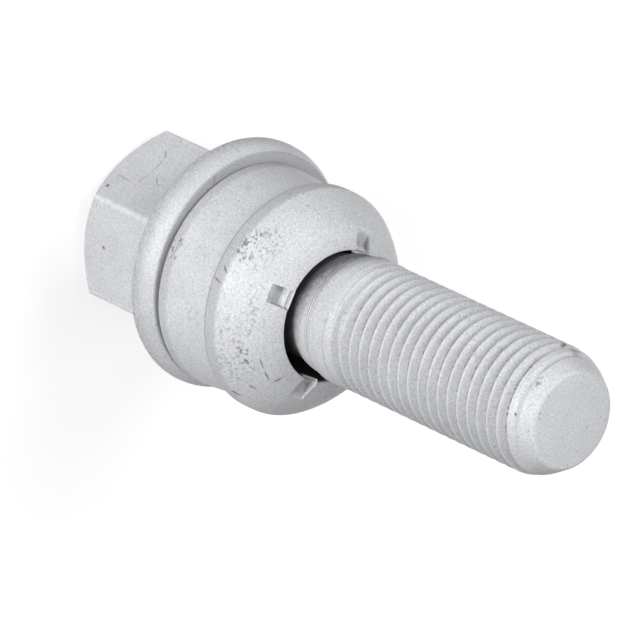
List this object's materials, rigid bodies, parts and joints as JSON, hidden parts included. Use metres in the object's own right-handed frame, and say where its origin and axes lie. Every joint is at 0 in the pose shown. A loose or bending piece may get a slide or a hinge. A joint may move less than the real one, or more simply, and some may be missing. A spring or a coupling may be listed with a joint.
{
  "type": "wheel bolt",
  "caption": "Hex-head wheel bolt with a flange and a loose ball-seat collar that turns on its waisted neck and is held on by staked lips.",
  "frame": {"origin": "centre of the hexagon head's top face, which the bolt stands on", "axes": "+Z along the bolt's axis towards the point of the thread; two corners of the hexagon lie on the Y axis"},
  "size_m": [0.0272, 0.0272, 0.0664],
  "materials": {
    "bolt_coating": "matte silver zinc-flake coating on steel",
    "collar_coating": "matte silver zinc-flake coating on steel, scuffed"
  },
  "bodies": {
    "bolt": {"bolt": "bolt_coating"},
    "collar": {"collar": "collar_coating"}
  },
  "joints": [
    {"name": "collar_spin", "type": "hinge", "parent": "bolt", "child": "collar", "pos_m": [0.00059, 0, 0.0235], "axis": [0, 0, 1], "continuous": true}
  ]
}
